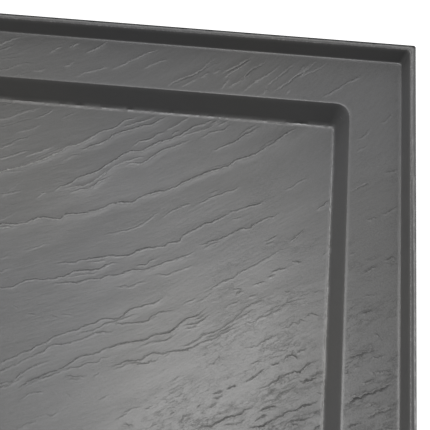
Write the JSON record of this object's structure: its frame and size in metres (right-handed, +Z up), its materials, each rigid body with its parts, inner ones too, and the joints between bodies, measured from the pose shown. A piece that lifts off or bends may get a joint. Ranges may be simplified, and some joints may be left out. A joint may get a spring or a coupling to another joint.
{
  "type": "shower tray",
  "caption": "Rectangular slate-effect stone-resin shower tray with a raised upstand, flat shelf, deep stepped basin, central waste and trap, on levelling legs.",
  "frame": {"origin": "middle of the tray's footprint, on the floor under its feet", "axes": "+X along the tray's length to the right, +Y towards the back wall, +Z up"},
  "size_m": [1.2, 0.8, 0.206],
  "materials": {
    "stone_resin": "matte",
    "cover_steel": "satin",
    "flange_steel": "satin",
    "screw_steel": "satin",
    "white_plastic": "satin",
    "dip_plastic": "satin",
    "strainer_plastic": "matte",
    "black_rubber": "matte",
    "nut_plastic": "matte",
    "socket_plastic": "matte",
    "foot_plastic": "matte",
    "zinc_steel": "satin"
  },
  "bodies": {
    "tray": {"tray_shell": "stone_resin", "flange_seal": "black_rubber", "waste_flange": "flange_steel", "trap_seal": "black_rubber", "trap_bowl": "white_plastic", "flange_screws": "screw_steel", "outlet_seal": "black_rubber", "leg_screws": "zinc_steel", "leg_socket_front_left": "socket_plastic", "leg_socket_front_middle": "socket_plastic", "leg_socket_front_right": "socket_plastic", "leg_socket_back_left": "socket_plastic", "leg_socket_back_middle": "socket_plastic", "leg_socket_back_right": "socket_plastic"},
    "dip_tube": {"dip_tube": "dip_plastic", "dip_seal": "black_rubber"},
    "hair_strainer": {"hair_strainer": "strainer_plastic"},
    "waste_cover": {"waste_cover": "cover_steel", "cover_carrier": "strainer_plastic"},
    "slip_ring": {"slip_ring": "dip_plastic"},
    "outlet_nut": {"outlet_nut": "nut_plastic"},
    "lock_nut_front_left": {"lock_nut_front_left": "zinc_steel"},
    "leg_foot_front_left": {"leg_foot_front_left": "foot_plastic"},
    "leg_spindle_front_left": {"leg_spindle_front_left": "zinc_steel"},
    "lock_nut_front_middle": {"lock_nut_front_middle": "zinc_steel"},
    "leg_foot_front_middle": {"leg_foot_front_middle": "foot_plastic"},
    "leg_spindle_front_middle": {"leg_spindle_front_middle": "zinc_steel"},
    "lock_nut_front_right": {"lock_nut_front_right": "zinc_steel"},
    "leg_foot_front_right": {"leg_foot_front_right": "foot_plastic"},
    "leg_spindle_front_right": {"leg_spindle_front_right": "zinc_steel"},
    "lock_nut_back_left": {"lock_nut_back_left": "zinc_steel"},
    "leg_foot_back_left": {"leg_foot_back_left": "foot_plastic"},
    "leg_spindle_back_left": {"leg_spindle_back_left": "zinc_steel"},
    "lock_nut_back_middle": {"lock_nut_back_middle": "zinc_steel"},
    "leg_foot_back_middle": {"leg_foot_back_middle": "foot_plastic"},
    "leg_spindle_back_middle": {"leg_spindle_back_middle": "zinc_steel"},
    "lock_nut_back_right": {"lock_nut_back_right": "zinc_steel"},
    "leg_foot_back_right": {"leg_foot_back_right": "foot_plastic"},
    "leg_spindle_back_right": {"leg_spindle_back_right": "zinc_steel"}
  },
  "joints": [
    {"name": "dip_tube_lift", "type": "slide", "parent": "tray", "child": "dip_tube", "axis": [0, 0, 1], "range_m": [0, 0.1]},
    {"name": "strainer_lift", "type": "slide", "parent": "dip_tube", "child": "hair_strainer", "axis": [0, 0, 1], "range_m": [0, 0.04]},
    {"name": "cover_lift", "type": "slide", "parent": "hair_strainer", "child": "waste_cover", "axis": [0, 0, 1], "range_m": [0, 0.03]},
    {"name": "slip_ring_slide", "type": "slide", "parent": "tray", "child": "slip_ring", "axis": [-1, 0, 0], "range_m": [0, 0.005]},
    {"name": "outlet_nut_turn", "type": "hinge", "parent": "slip_ring", "child": "outlet_nut", "pos_m": [-0.095, 0, 0.082], "axis": [-1, 0, 0], "range_deg": [0, 720]},
    {"name": "foot_travel_front_left", "type": "slide", "parent": "tray", "child": "leg_foot_front_left", "axis": [0, 0, -1], "range_m": [0, 0.021]},
    {"name": "spindle_turn_front_left", "type": "hinge", "parent": "leg_foot_front_left", "child": "leg_spindle_front_left", "pos_m": [-0.47, -0.27, 0.016], "axis": [0, 0, -1], "range_deg": [0, 4320]},
    {"name": "lock_nut_turn_front_left", "type": "hinge", "parent": "tray", "child": "lock_nut_front_left", "pos_m": [-0.47, -0.27, 0.079], "axis": [0, 0, -1], "range_deg": [0, 180]},
    {"name": "foot_travel_front_middle", "type": "slide", "parent": "tray", "child": "leg_foot_front_middle", "axis": [0, 0, -1], "range_m": [0, 0.021]},
    {"name": "spindle_turn_front_middle", "type": "hinge", "parent": "leg_foot_front_middle", "child": "leg_spindle_front_middle", "pos_m": [0, -0.27, 0.016], "axis": [0, 0, -1], "range_deg": [0, 4320]},
    {"name": "lock_nut_turn_front_middle", "type": "hinge", "parent": "tray", "child": "lock_nut_front_middle", "pos_m": [0, -0.27, 0.079], "axis": [0, 0, -1], "range_deg": [0, 180]},
    {"name": "foot_travel_front_right", "type": "slide", "parent": "tray", "child": "leg_foot_front_right", "axis": [0, 0, -1], "range_m": [0, 0.021]},
    {"name": "spindle_turn_front_right", "type": "hinge", "parent": "leg_foot_front_right", "child": "leg_spindle_front_right", "pos_m": [0.47, -0.27, 0.016], "axis": [0, 0, -1], "range_deg": [0, 4320]},
    {"name": "lock_nut_turn_front_right", "type": "hinge", "parent": "tray", "child": "lock_nut_front_right", "pos_m": [0.47, -0.27, 0.079], "axis": [0, 0, -1], "range_deg": [0, 180]},
    {"name": "foot_travel_back_left", "type": "slide", "parent": "tray", "child": "leg_foot_back_left", "axis": [0, 0, -1], "range_m": [0, 0.021]},
    {"name": "spindle_turn_back_left", "type": "hinge", "parent": "leg_foot_back_left", "child": "leg_spindle_back_left", "pos_m": [-0.47, 0.27, 0.016], "axis": [0, 0, -1], "range_deg": [0, 4320]},
    {"name": "lock_nut_turn_back_left", "type": "hinge", "parent": "tray", "child": "lock_nut_back_left", "pos_m": [-0.47, 0.27, 0.079], "axis": [0, 0, -1], "range_deg": [0, 180]},
    {"name": "foot_travel_back_middle", "type": "slide", "parent": "tray", "child": "leg_foot_back_middle", "axis": [0, 0, -1], "range_m": [0, 0.021]},
    {"name": "spindle_turn_back_middle", "type": "hinge", "parent": "leg_foot_back_middle", "child": "leg_spindle_back_middle", "pos_m": [0, 0.27, 0.016], "axis": [0, 0, -1], "range_deg": [0, 4320]},
    {"name": "lock_nut_turn_back_middle", "type": "hinge", "parent": "tray", "child": "lock_nut_back_middle", "pos_m": [0, 0.27, 0.079], "axis": [0, 0, -1], "range_deg": [0, 180]},
    {"name": "foot_travel_back_right", "type": "slide", "parent": "tray", "child": "leg_foot_back_right", "axis": [0, 0, -1], "range_m": [0, 0.021]},
    {"name": "spindle_turn_back_right", "type": "hinge", "parent": "leg_foot_back_right", "child": "leg_spindle_back_right", "pos_m": [0.47, 0.27, 0.016], "axis": [0, 0, -1], "range_deg": [0, 4320]},
    {"name": "lock_nut_turn_back_right", "type": "hinge", "parent": "tray", "child": "lock_nut_back_right", "pos_m": [0.47, 0.27, 0.079], "axis": [0, 0, -1], "range_deg": [0, 180]}
  ],
  "couplings": [
    {"joint": "slip_ring_slide", "follows": "outlet_nut_turn", "m_per_rad": 0.00039788},
    {"joint": "spindle_turn_front_left", "follows": "foot_travel_front_left", "rad_per_m": 3590.3},
    {"joint": "spindle_turn_front_middle", "follows": "foot_travel_front_middle", "rad_per_m": 3590.3},
    {"joint": "spindle_turn_front_right", "follows": "foot_travel_front_right", "rad_per_m": 3590.3},
    {"joint": "spindle_turn_back_left", "follows": "foot_travel_back_left", "rad_per_m": 3590.3},
    {"joint": "spindle_turn_back_middle", "follows": "foot_travel_back_middle", "rad_per_m": 3590.3},
    {"joint": "spindle_turn_back_right", "follows": "foot_travel_back_right", "rad_per_m": 3590.3}
  ]
}
